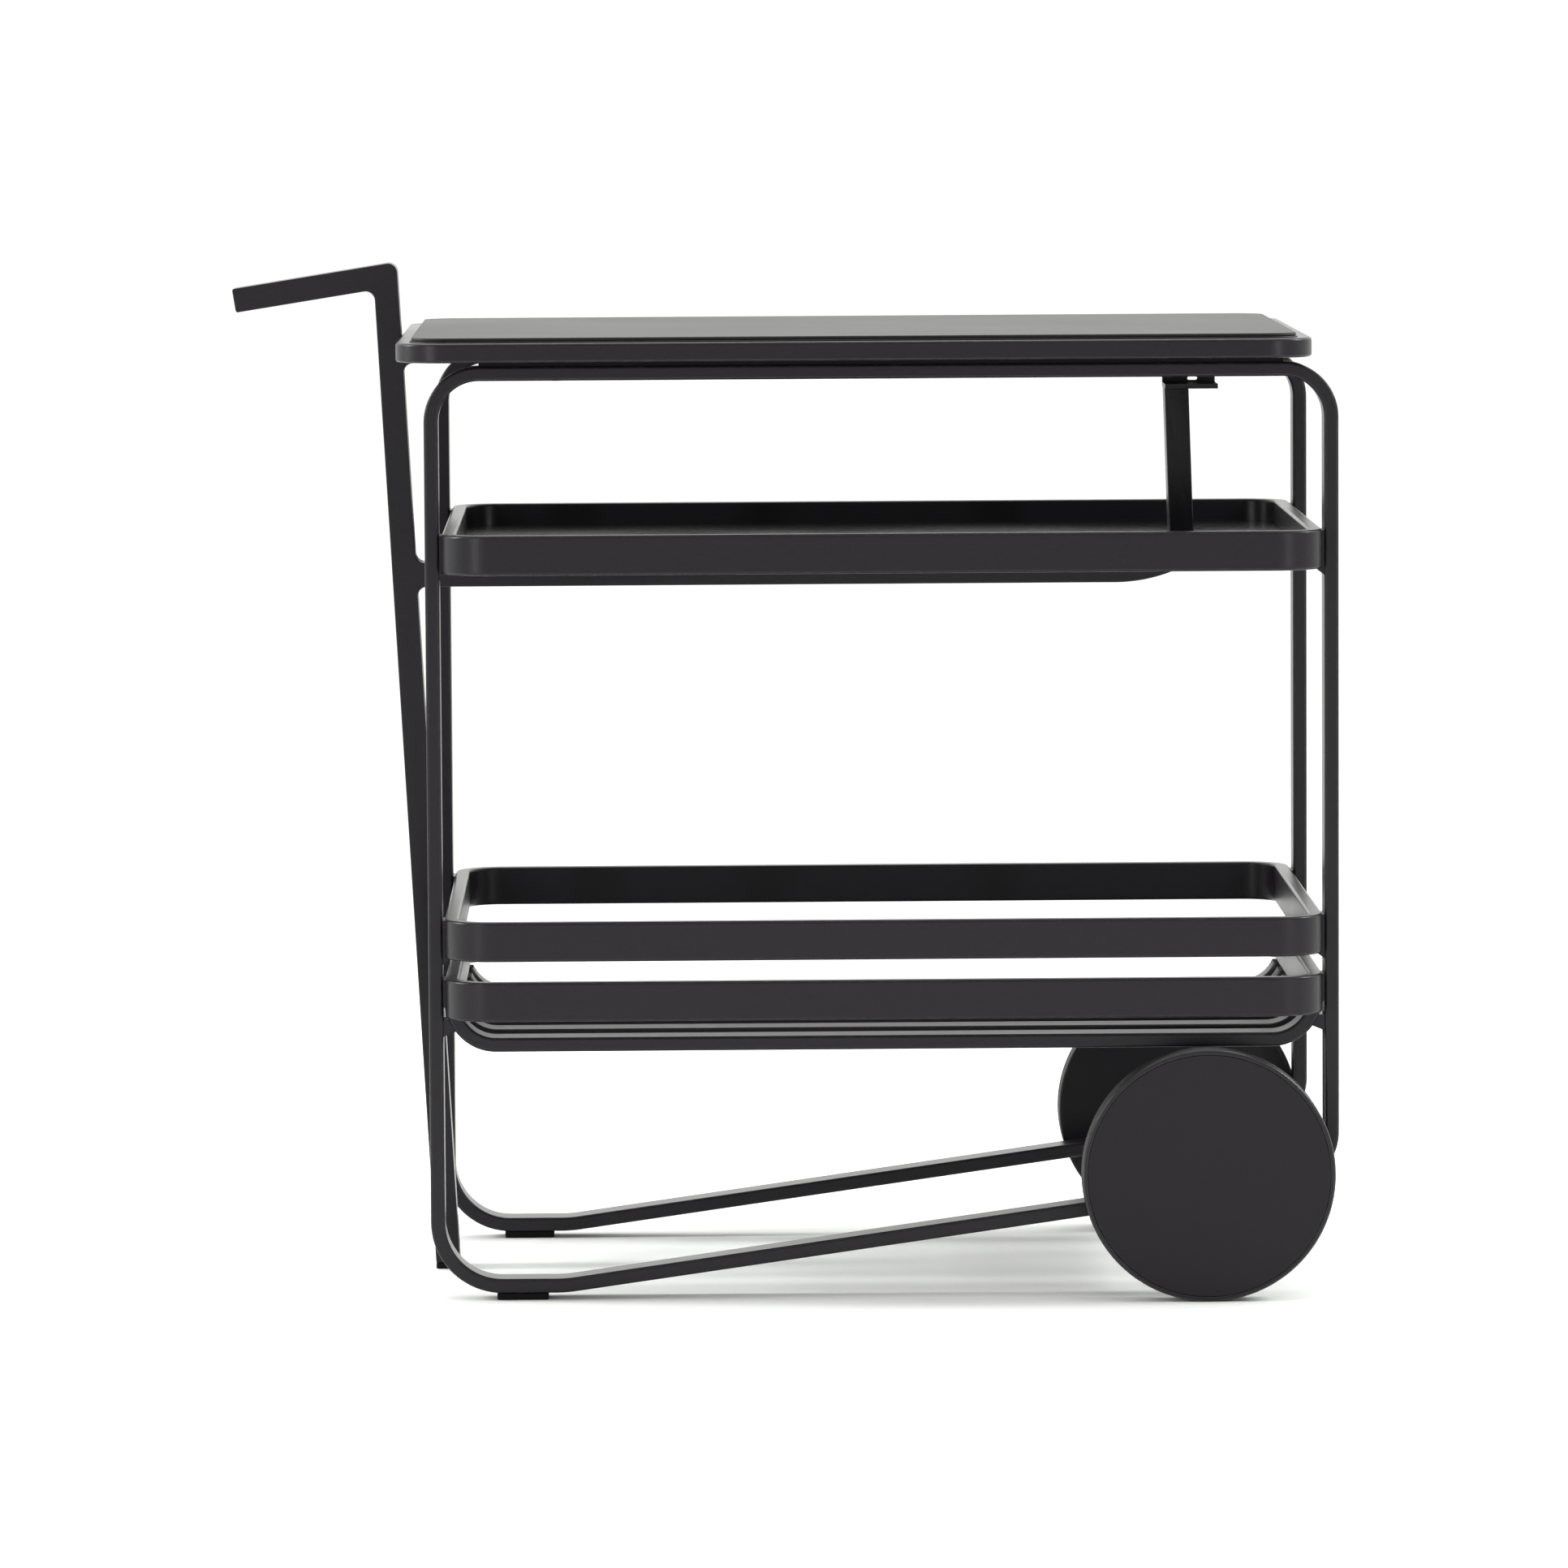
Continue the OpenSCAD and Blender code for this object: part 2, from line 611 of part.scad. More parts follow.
module wheel_bushes(side) {
    bore = axle_d + 2 * bush_clearance;
    middle = (wheel_inner + hub_outer) / 2;
    color("#d8d5cb") on_axle(side) {
        tube(bush_d, bore, wheel_inner, middle - bush_split / 2);
        tube(flange_d, bore, wheel_inner - bush_flange_t, wheel_inner);
        tube(bush_d, bore, middle + bush_split / 2, hub_outer);
        tube(flange_d, bore, hub_outer, hub_outer + bush_flange_t);
    }
}
module wheel_washer(side) {
    start = hub_outer + bush_flange_t + axial_gap;
    color("#9b9c9e") on_axle(side) tube(flange_d, axle_d + 2 * screw_gap, start, start + washer_t);
}
module wheel_clip(side) {
    color("#77787a") on_axle(side) translate([0, 0, clip_start + groove_gap / 2])
        rotate([0, 0, clip_opening / 2]) rotate_extrude(angle = 360 - clip_opening)
            translate([axle_d / 2 - clip_depth + groove_gap, 0]) square([clip_wall, clip_t]);
}
module front_wheel_core() { wheel_core(-1); }
module front_wheel_tyre() { wheel_tyre(-1); }
module front_wheel_cover() { wheel_cover(-1); }
module front_wheel_bushes() { wheel_bushes(-1); }
module front_wheel_washer() { wheel_washer(-1); }
module front_wheel_clip() { wheel_clip(-1); }
module back_wheel_core() { wheel_core(1); }
module back_wheel_tyre() { wheel_tyre(1); }
module back_wheel_cover() { wheel_cover(1); }
module back_wheel_bushes() { wheel_bushes(1); }
module back_wheel_washer() { wheel_washer(1); }
module back_wheel_clip() { wheel_clip(1); }

front_frame();
back_frame();
handle_spine();
spine_foot_pad();
spine_tie_block();
middle_tray_rim();
middle_tray_floor();
middle_tray_ribs();
arm_pads();
upper_rail();
lower_rail();
shelf_slat_1();
shelf_slat_2();
shelf_slat_3();
shelf_slat_4();
shelf_slat_5();
shelf_slat_6();
shelf_slat_7();
middle_tray_gussets();
upper_rail_gussets();
lower_rail_gussets();
top_rim();
top_core();
top_plate();
top_spacers();
top_screws();
centre_post();
post_bracket();
bracket_screws();
front_foot_pad();
back_foot_pad();
foot_screws();
axle();
axle_tube();
axle_saddles();
axle_spacers();
front_wheel_core();
front_wheel_tyre();
front_wheel_cover();
front_wheel_bushes();
front_wheel_washer();
front_wheel_clip();
back_wheel_core();
back_wheel_tyre();
back_wheel_cover();
back_wheel_bushes();
back_wheel_washer();
back_wheel_clip();
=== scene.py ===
"""Bar cart on wheels: the finished surfaces of its bars, sheets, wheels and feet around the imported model.

Every surface here is worked out with numpy as a profile carried along an outline, in the row's own frame and
in metres. Profiles and outlines are both Paths: points and, at each, the direction out of the material.
"""

import math

import bpy
import numpy as np
from mathutils import Matrix, Vector


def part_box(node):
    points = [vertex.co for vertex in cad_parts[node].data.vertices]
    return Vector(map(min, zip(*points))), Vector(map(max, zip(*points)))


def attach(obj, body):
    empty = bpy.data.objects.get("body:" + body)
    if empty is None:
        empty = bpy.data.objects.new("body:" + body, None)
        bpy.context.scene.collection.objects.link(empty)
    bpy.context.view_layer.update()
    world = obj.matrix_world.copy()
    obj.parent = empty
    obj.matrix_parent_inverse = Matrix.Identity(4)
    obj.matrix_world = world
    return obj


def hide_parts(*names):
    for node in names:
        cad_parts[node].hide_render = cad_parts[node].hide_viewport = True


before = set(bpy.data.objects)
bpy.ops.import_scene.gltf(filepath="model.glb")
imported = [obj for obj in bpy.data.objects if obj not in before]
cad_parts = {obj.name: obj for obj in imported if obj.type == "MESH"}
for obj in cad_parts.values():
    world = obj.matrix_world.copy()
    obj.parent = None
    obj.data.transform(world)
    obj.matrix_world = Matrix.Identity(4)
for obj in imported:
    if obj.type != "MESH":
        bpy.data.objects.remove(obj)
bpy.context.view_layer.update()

MM = 0.001

# Frames, rings and slats, as in the model's own design
BAR_THICK = 12 * MM
BAR_EDGE = 2.4 * MM
BEND_RADIUS = 46 * MM
LOW_BEND_RADIUS = 60 * MM
RISE_BEND_RADIUS = 120 * MM
FLAT_RUN_END = 113 * MM
TUBE_LIFT = 1.3 * MM
RING_RADIUS = 40 * MM
SLAT_BEND_RADIUS = 42 * MM

# Spine, grip, arms and post
SPINE_THICK = 20.5 * MM
SPINE_LEAN = math.radians(3.1)
POST_LEAN = math.radians(1.8)
GRIP_SLOPE = math.radians(9)
HANDLE_OUTER_RADIUS = 8 * MM
HANDLE_INNER_RADIUS = 8 * MM
ARM_PAST_POST = 15 * MM
ARM_END_RADIUS = 152 * MM
ARM_ARC_SHARE = 0.88  # of the arm's end arc, which leaves room for the tip's own small round
TOP_ARM_THICK = 9 * MM
NOSE = 1 * MM  # round on the edges and cut ends of the spine and the post

# Sheets, board and feet
PLATE_EDGE = 1.1 * MM
PLATE_GAP = 1 * MM
BOARD_EDGE = 0.5 * MM
PAD_RADIUS = 2.5 * MM
PAD_EDGE = 1.2 * MM

# Wheels
TYRE_EDGE = 1.9 * MM
TYRE_LIP = 0.7 * MM
TYRE_SEAT_EDGE = 0.2 * MM
COVER_GAP = 0.15 * MM

# Edges broken on the small blocks that stay as they are
BROKEN_EDGE = 0.5 * MM
SHARP_ANGLE = math.radians(40)

# How finely curves are drawn
ARC_STEPS = 20
RING_STEPS = 28
EDGE_STEPS = 6
PAD_STEPS = 8
POST_STEPS = 6
TYRE_STEPS = 8
WHEEL_STEPS = 160

# Colours, as linear reflectance
CHARCOAL = (0.0104, 0.0083, 0.0115, 1)
CHARCOAL_WORN = (0.034, 0.031, 0.034, 1)
SHEET_GREY = (0.0150, 0.0150, 0.0142, 1)
TRAY_GREY = (0.0090, 0.0085, 0.0088, 1)
RUBBER_BLACK = (0.0022, 0.0020, 0.0021, 1)
TYRE_BLACK = (0.0040, 0.0037, 0.0040, 1)
WHEEL_GREY = (0.0074, 0.0054, 0.0084, 1)
BOARD_DARK = (0.018, 0.017, 0.016, 1)
STEEL = (0.48, 0.48, 0.49, 1)
BLACKENED_STEEL = (0.09, 0.09, 0.095, 1)
BUSH_CREAM = (0.62, 0.59, 0.52, 1)
FLOOR_WHITE = (0.93, 0.93, 0.93, 1)
FLOOR_SHADE = (0.9, 0.9, 0.9, 1)


# ---------------------------------------------------------------- paths and profiles


class Path:
    """Points on a line or outline with, at each, the direction that points out of the material."""

    def __init__(self, points, outward):
        self.points = np.asarray(points, float)
        self.outward = np.asarray(outward, float)

    def wear(self):
        """How exposed each point is: 2 |a' b'| of its direction, 0 on a face and 1 midway round an edge."""
        return 2 * np.abs(self.outward[:, 0] * self.outward[:, 1])


def rounded(corners, steps=ARC_STEPS):
    """Closed outline through corners given as (a, b, radius), anticlockwise in the plane of a and b.

    At a corner the sides run into an arc of that radius: its centre lies on the corner's bisector at
    radius / sin(half the corner's angle), and it turns from one side's outward direction to the next one's.
    """
    points, outward = [], []
    for i, (a, b, radius) in enumerate(corners):
        here = np.array((a, b))
        before = np.array(corners[i - 1][:2])
        after = np.array(corners[(i + 1) % len(corners)][:2])
        u = (before - here) / np.linalg.norm(before - here)
        v = (after - here) / np.linalg.norm(after - here)
        out_in, out_after = np.array((-u[1], u[0])), np.array((v[1], -v[0]))
        turn = math.atan2(out_in[0] * out_after[1] - out_in[1] * out_after[0], out_in @ out_after)
        half = (math.pi - abs(turn)) / 2
        bend = 1 if turn > 0 else -1
        centre = here + (u + v) / np.linalg.norm(u + v) * radius / math.sin(half)
        angles = math.atan2(out_in[1], out_in[0]) + turn * np.linspace(0, 1, steps + 1)
        directions = np.stack((np.cos(angles), np.sin(angles)), axis=1)
        points.append(centre + bend * radius * directions)
        outward.append(directions)
    return Path(np.concatenate(points), np.concatenate(outward))


def rectangle(low_a, high_a, low_b, high_b, radius):
    """Corners of a rectangle, each with the same radius."""
    places = ((low_a, low_b), (high_a, low_b), (high_a, high_b), (low_a, high_b))
    return [(a, b, radius) for a, b in places]


def bar_profile(low_b, high_b):
    """Closed section of a flat bar with its long edges rounded, inside the outline, between two heights."""
    return rounded(rectangle(-BAR_THICK, 0, low_b, high_b, BAR_EDGE), EDGE_STEPS)


def rim_profile(low_b, high_b, edge):
    """Open section of a sheet's or plate's rim: a quarter circle, the straight rim, and a quarter circle.

    The first coordinate is how far out of the outline it stands (never above 0), the second the height.
    """
    quarter = np.linspace(0, math.pi / 2, EDGE_STEPS + 1)
    low = np.stack((np.sin(quarter), -np.cos(quarter)), axis=1)
    high = np.stack((np.cos(quarter), np.sin(quarter)), axis=1)
    points = np.concatenate((low * edge + (-edge, low_b + edge), high * edge + (-edge, high_b - edge)))
    return Path(points, np.concatenate((low, high)))


class Shell:
    """Closed surfaces gathered into one mesh, with the exact direction of each corner of each face."""

    def __init__(self):
        self.points, self.wear = [], []
        self.faces, self.face_sizes, self.directions = [], [], []
        self.count = 0

    def add_points(self, points, wear):
        """Adds points and gives the number of the first of them."""
        points = points.reshape(-1, 3)
        self.points.append(points)
        self.wear.append(wear.ravel())
        first = self.count
        self.count += len(points)
        return first

    def add_faces(self, corners, directions):
        """Adds faces of one size, as rows of point numbers with a direction for each corner."""
        corners = np.asarray(corners, int)
        self.faces.append(corners.ravel())
        self.face_sizes.append(np.full(len(corners), corners.shape[1]))
        self.directions.append(np.asarray(directions, float).reshape(-1, 3))

    def grid(self, points, directions, wear, wrap_rows, wrap_columns):
        """Adds the faces between a grid's rows and columns of points; a wrapped side joins its far side."""
        rows, columns = points.shape[:2]
        first = self.add_points(points, wear)
        i = np.arange(rows if wrap_rows else rows - 1)[:, None]
        j = np.arange(columns if wrap_columns else columns - 1)[None, :]
        near, far = i * columns, (i + 1) % rows * columns
        left, right = j + 0 * i, (j + 1) % columns + 0 * i
        corners = np.stack((near + left, far + left, far + right, near + right), axis=-1).reshape(-1, 4)
        flat = directions.reshape(-1, 3)
        self.add_faces(first + corners, flat[corners])
        return first

    def lid(self, numbers, direction):
        """Closes a loop of points with one flat face."""
        self.add_faces([numbers], np.tile(direction, (len(numbers), 1)))

    def piece(self, node, ending, finish, body="cart"):
        """Makes the mesh an object that stands for a node and rides on its body, named by node and ending."""
        name = node + "_" + ending
        mesh = bpy.data.meshes.new(name)
        points = np.concatenate(self.points)
        faces = np.concatenate(self.faces)
        sizes = np.concatenate(self.face_sizes)
        mesh.vertices.add(len(points))
        mesh.vertices.foreach_set("co", points.astype(np.float32).ravel())
        mesh.loops.add(len(faces))
        mesh.loops.foreach_set("vertex_index", faces.astype(np.int32))
        mesh.polygons.add(len(sizes))
        starts = np.concatenate(((0,), np.cumsum(sizes)[:-1])).astype(np.int32)
        mesh.polygons.foreach_set("loop_start", starts)
        mesh.polygons.foreach_set("loop_total", sizes.astype(np.int32))
        mesh.update(calc_edges=True)
        mesh.polygons.foreach_set("use_smooth", np.ones(len(sizes), bool))
        mesh.normals_split_custom_set(np.concatenate(self.directions).astype(np.float32))
        wear = mesh.attributes.new("edge_wear", "FLOAT", "POINT")
        wear.data.foreach_set("value", np.concatenate(self.wear).astype(np.float32))
        mesh.materials.append(finish)
        made = bpy.data.objects.new(name, mesh)
        bpy.context.scene.collection.objects.link(made)
        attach(made, body)
        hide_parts(node)


# Planes that a path may lie in, as the axes of its two coordinates and of the height above it
UPRIGHT = (np.array((1.0, 0, 0)), np.array((0, 0, 1.0)), np.array((0, -1.0, 0)))
LEVEL = (np.array((1.0, 0, 0)), np.array((0, 1.0, 0)), np.array((0, 0, 1.0)))


def carry(shell, path, profile, plane, origin=(0, 0, 0), closed_profile=True):
    """Profile carried round a closed outline: P(s, t) = outline(s) + a(t) outward(s) + b(t) up.

    Its direction is a'(t) outward(s) + b'(t) up, from the profile's own outward direction (a', b'). An open
    profile starts and ends inside the outline, and both ends are closed with a flat face.
    """
    x, y, up = plane
    at = np.asarray(origin) + path.points @ np.stack((x, y))
    out = path.outward @ np.stack((x, y))
    a, b = profile.points[:, 0], profile.points[:, 1]
    da, db = profile.outward[:, 0], profile.outward[:, 1]
    points = at[:, None] + a[None, :, None] * out[:, None] + b[None, :, None] * up
    directions = da[None, :, None] * out[:, None] + db[None, :, None] * up
    wear = np.broadcast_to(profile.wear(), points.shape[:2])
    first = shell.grid(points, directions, wear, True, closed_profile)
    if not closed_profile:
        rows, columns = points.shape[:2]
        ring = first + np.arange(rows) * columns
        shell.lid(ring[::-1], -up)
        shell.lid(ring + columns - 1, up)


def plate(shell, corners, plane, low, high, edge, steps=ARC_STEPS):
    """Flat plate of a rounded outline between two heights, with its rim's edges rounded."""
    carry(shell, rounded(corners, steps), rim_profile(low, high, edge), plane, closed_profile=False)


def turned(shell, outline, centre, side):
    """Closed outline turned about the axle: P(h, t) = centre + along(t) side + radius(t) (cos h, sin h).

    The outline's coordinates are along(t), the distance out along the axle, and radius(t).
    """
    angles = np.linspace(0, 2 * math.pi, WHEEL_STEPS, endpoint=False) * side
    spoke = np.stack((np.cos(angles), 0 * angles, np.sin(angles)), axis=1)
    along = np.array((0, 1.0, 0)) * side
    r, h = outline.points[:, 1], outline.points[:, 0]
    dr, dh = outline.outward[:, 1], outline.outward[:, 0]
    points = np.asarray(centre) + r[None, :, None] * spoke[:, None] + h[None, :, None] * along
    directions = dr[None, :, None] * spoke[:, None] + dh[None, :, None] * along
    wear = np.broadcast_to(outline.wear(), points.shape[:2])
    shell.grid(points, directions, wear, True, True)


# ---------------------------------------------------------------- finishes


class Wire:
    """A shader value that adds its own Math nodes when it is used in an expression."""

    def __init__(self, graph, socket):
        self.graph, self.socket = graph, socket

    def _maths(self, operation, first, second=None):
        inputs = {0: first} if second is None else {0: first, 1: second}
        return self.graph.node("ShaderNodeMath", inputs, operation=operation)

    def __add__(self, other):
        return self._maths("ADD", self, other)

    __radd__ = __add__

    def __sub__(self, other):
        return self._maths("SUBTRACT", self, other)

    def __rsub__(self, other):
        return self._maths("SUBTRACT", other, self)

    def __mul__(self, other):
        return self._maths("MULTIPLY", self, other)

    __rmul__ = __mul__

    def __abs__(self):
        return self._maths("ABSOLUTE", self)

    def sine(self):
        """Sine of an angle in radians."""
        return self._maths("SINE", self)

    def above(self, low, high):
        """0 below low, 1 above high, and a smooth step between."""
        inputs = {"Value": self, "From Min": low, "From Max": high}
        return self.graph.node("ShaderNodeMapRange", inputs, interpolation_type="SMOOTHSTEP")


class Graph:
    """Nodes that feed one shader: maths is written as expressions on Wires, and node() adds any other."""

    def __init__(self, owner, shader, **constants):
        owner.use_nodes = True
        self.tree = owner.node_tree
        self.shader = self.tree.nodes[shader]
        for socket, value in constants.items():
            self.shader.inputs[socket.replace("_", " ")].default_value = value

    def node(self, kind, inputs=None, output=0, **settings):
        """Adds a node, makes its settings, then sets or links its inputs, and gives one of its outputs."""
        made = self.tree.nodes.new(kind)
        for setting, value in settings.items():
            setattr(made, setting, value)
        for socket, value in (inputs or {}).items():
            if isinstance(value, Wire):
                self.tree.links.new(value.socket, made.inputs[socket])
            else:
                made.inputs[socket].default_value = value
        return Wire(self, made.outputs[output])

    def feed(self, socket, wire):
        """Links a wire to one of the shader's inputs."""
        self.tree.links.new(wire.socket, self.shader.inputs[socket])

    def part(self, vector, axis):
        """One coordinate of a vector."""
        return self.node("ShaderNodeSeparateXYZ", {0: vector}, output=axis)


class Finish(Graph):
    """One material, with the patterns that the finishes share."""

    def __init__(self, name, **constants):
        self.material = bpy.data.materials.new(name)
        super().__init__(self.material, "Principled BSDF", **constants)

    def place(self, stretch=(1, 1, 1)):
        """Object coordinates in metres, stretched along the axes."""
        at = self.node("ShaderNodeTexCoord", output="Object")
        return self.node("ShaderNodeVectorMath", {0: at, 1: stretch}, operation="MULTIPLY")

    def noise(self, scale, detail=2.0, roughness=0.5, stretch=(1, 1, 1)):
        """Cloud noise with that many features to a metre."""
        inputs = {"Vector": self.place(stretch), "Scale": scale, "Detail": detail, "Roughness": roughness}
        return self.node("ShaderNodeTexNoise", inputs)

    def mix(self, factor, first, second):
        """Colour between two others; the node's colour inputs are its 6 and 7, and its colour output is 2."""
        inputs = {0: factor, 6: first, 7: second}
        return self.node("ShaderNodeMix", inputs, output=2, data_type="RGBA")

    def relief(self, height, distance, strength=1.0, under=None):
        """Bump from a height wire, on top of an earlier bump if there is one."""
        inputs = {"Height": height, "Distance": distance, "Strength": strength}
        if under is not None:
            inputs["Normal"] = under
        return self.node("ShaderNodeBump", inputs)

    def attribute(self, name):
        """A number kept at each of the mesh's points."""
        return self.node("ShaderNodeAttribute", output="Fac", attribute_name=name)

    def facing(self, axis):
        """How far the surface faces along an axis, from -1 to 1."""
        return self.part(self.node("ShaderNodeNewGeometry", output="Normal"), axis)


def toned(colour, share):
    """Colour made darker or lighter by a share."""
    return tuple(share * c for c in colour[:3]) + (1,)


def powder_coat(name, colour, worn, roughness, grain=1.0):
    """Baked powder coat: fine pebbled skin, drifts of sheen, scuffs, edges rubbed lighter, some dust."""
    f = Finish(name, IOR=1.5, Metallic=0.0, Specular_IOR_Level=0.27)
    pebbles = f.noise(1400, 2.0, 0.55)
    orange_peel = f.noise(260, 1.5, 0.4)
    drift = f.noise(5, 2.0)
    scuffs = f.noise(38, 3.0, 0.6, stretch=(1, 5, 0.5)).above(0.69, 0.78)
    rubbed = f.attribute("edge_wear") * f.noise(120, 3.0, 0.6).above(0.42, 0.7)
    settled = f.facing("Z").above(0.55, 0.98) * f.noise(60, 4.0, 0.62).above(0.35, 0.75)
    shade = f.mix(rubbed * 0.45 + settled * 0.10 + (pebbles - 0.5) * 0.16, colour, worn)
    f.feed("Base Color", shade)
    skin = roughness + (drift - 0.5) * 0.10 + (pebbles - 0.5) * 0.08
    f.feed("Roughness", skin + scuffs * 0.05 - rubbed * 0.06)
    peel = f.relief(orange_peel, 0.25 * MM * grain, 0.35)
    f.feed("Normal", f.relief(pebbles, 0.09 * MM * grain, 0.5, peel))
    return f.material


def moulded_rubber(name):
    """Moulded rubber: matt and near black, with a fine skin and grey bloom in patches."""
    f = Finish(name, IOR=1.52, Metallic=0.0, Specular_IOR_Level=0.12)
    skin = f.noise(900, 3.0, 0.6)
    bloom = f.noise(35, 3.0, 0.6).above(0.48, 0.75)
    f.feed("Base Color", f.mix(bloom * 0.25 + skin * 0.12, RUBBER_BLACK, toned(RUBBER_BLACK, 3)))
    f.feed("Roughness", 0.62 + (skin - 0.5) * 0.14 + bloom * 0.05)
    f.feed("Normal", f.relief(skin, 0.12 * MM, 0.6))
    return f.material


def tyre_skin(name, pitch):
    """Solid tyre: a matt black tread with faint rings round it, and sides as grey and smooth as the cover."""
    f = Finish(name, IOR=1.52, Metallic=0.0, Specular_IOR_Level=0.2, Coat_Roughness=0.2)
    skin = f.noise(900, 3.0, 0.6)
    side = abs(f.facing("Y")).above(0.05, 0.5)
    f.feed("Base Color", f.mix(side * 0.9 + skin * 0.1, TYRE_BLACK, WHEEL_GREY))
    f.feed("Roughness", 0.62 - side * 0.22 + (skin - 0.5) * 0.12)
    f.feed("Coat Weight", side * 0.2 + f.attribute("edge_wear") * 0.8)
    rings = (f.part(f.place(), "Y") * (2 * math.pi / pitch)).sine()
    f.feed("Normal", f.relief(rings, 0.1 * MM, 0.5, f.relief(skin, 0.06 * MM, 0.5)))
    return f.material


def turned_steel(name, colour, roughness, stretch):
    """Machined steel: fine lines along one axis, with smudges of oil."""
    f = Finish(name, IOR=2.5, Metallic=1.0)
    lines = f.noise(700, 2.0, 0.6, stretch)
    smudges = f.noise(22, 3.0, 0.6)
    f.feed("Base Color", f.mix(lines * 0.35 + smudges.above(0.5, 0.8) * 0.3, colour, toned(colour, 0.55)))
    f.feed("Roughness", roughness + (lines - 0.5) * 0.15 + (smudges - 0.5) * 0.12)
    f.feed("Normal", f.relief(lines, 0.06 * MM, 0.6))
    return f.material


def bush_plastic(name):
    """Waxy bearing plastic with a faint turning grain."""
    f = Finish(name, IOR=1.48, Metallic=0.0)
    grain = f.noise(600, 2.0, 0.5, stretch=(1, 6, 1))
    stain = f.noise(70, 3.0, 0.6).above(0.5, 0.8)
    f.feed("Base Color", f.mix(stain * 0.35 + grain * 0.1, BUSH_CREAM, toned(BUSH_CREAM, 0.5)))
    f.feed("Roughness", 0.42 + (grain - 0.5) * 0.12)
    f.feed("Normal", f.relief(grain, 0.05 * MM, 0.5))
    return f.material


def sealed_board(name):
    """Dark sealed board: long fine grain under a matt varnish."""
    f = Finish(name, IOR=1.45, Metallic=0.0)
    grain = f.noise(320, 4.0, 0.6, stretch=(0.06, 1, 1))
    pores = f.noise(1200, 2.0, 0.5, stretch=(0.12, 1, 1)).above(0.58, 0.72)
    f.feed("Base Color", f.mix(grain * 0.6 + pores * 0.3, BOARD_DARK, toned(BOARD_DARK, 0.4)))
    f.feed("Roughness", 0.5 + (grain - 0.5) * 0.2)
    f.feed("Normal", f.relief(grain - pores * 0.5, 0.1 * MM, 0.5))
    return f.material


COAT = powder_coat("charcoal_coat", CHARCOAL, CHARCOAL_WORN, 0.32)
SHEET_COAT = powder_coat("sheet_coat", SHEET_GREY, CHARCOAL_WORN, 0.49, grain=0.6)
TRAY_COAT = powder_coat("tray_coat", TRAY_GREY, CHARCOAL_WORN, 0.13, grain=0.2)
WHEEL_COAT = powder_coat("wheel_coat", WHEEL_GREY, CHARCOAL_WORN, 0.44, grain=0.8)
PAD = moulded_rubber("foot_rubber")
TYRE = tyre_skin("tyre_rubber", 2 * MM)
AXLE_STEEL = turned_steel("axle_steel", STEEL, 0.3, (1, 8, 1))
SCREW_STEEL = turned_steel("screw_steel", BLACKENED_STEEL, 0.4, (1, 1, 6))
BUSH = bush_plastic("bush_plastic")
BOARD = sealed_board("sealed_board")


# ---------------------------------------------------------------- the cart's places

frame_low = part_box("front_frame")[0]
tube_low, tube_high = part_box("axle_tube")
rim_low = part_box("top_rim")[0]
spine_low, spine_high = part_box("handle_spine")
bracket_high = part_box("post_bracket")[1]
shelf_low, shelf_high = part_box("lower_rail")

axle_x = (tube_low.x + tube_high.x) / 2
axle_z = (tube_low.z + tube_high.z) / 2
left_bend = shelf_low.x + SLAT_BEND_RADIUS
right_bend = shelf_high.x - SLAT_BEND_RADIUS
board_radius = RING_RADIUS - BAR_THICK


def rise_angle():
    """Slope of the bottom bar, which starts at the flat run's end and passes just under the axle's tube."""
    height = tube_low.z - TUBE_LIFT - frame_low.z
    length = axle_x - (frame_low.x + FLAT_RUN_END)
    return math.acos(BAR_THICK / math.hypot(height, length)) - math.atan2(length, height)


def upright_frame(name):
    """Closed loop of flat bar in an upright plane."""
    low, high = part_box(name)
    corner_z = low.z + (high.x - low.x - FLAT_RUN_END) * math.tan(rise_angle())
    outline = rounded((
        (low.x, low.z, LOW_BEND_RADIUS),
        (low.x + FLAT_RUN_END, low.z, RISE_BEND_RADIUS),
        (high.x, corner_z, BEND_RADIUS),
        (high.x, high.z, BEND_RADIUS),
        (low.x, high.z, BEND_RADIUS),
    ))
    shell = Shell()
    carry(shell, outline, bar_profile(-high.y, -low.y), UPRIGHT)
    shell.piece(name, "bar", COAT)


def ring(name):
    """Level ring of flat bar set on edge."""
    low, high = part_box(name)
    outline = rounded(rectangle(low.x, high.x, low.y, high.y, RING_RADIUS), RING_STEPS)
    shell = Shell()
    carry(shell, outline, bar_profile(low.z, high.z), LEVEL)
    shell.piece(name, "bar", COAT)


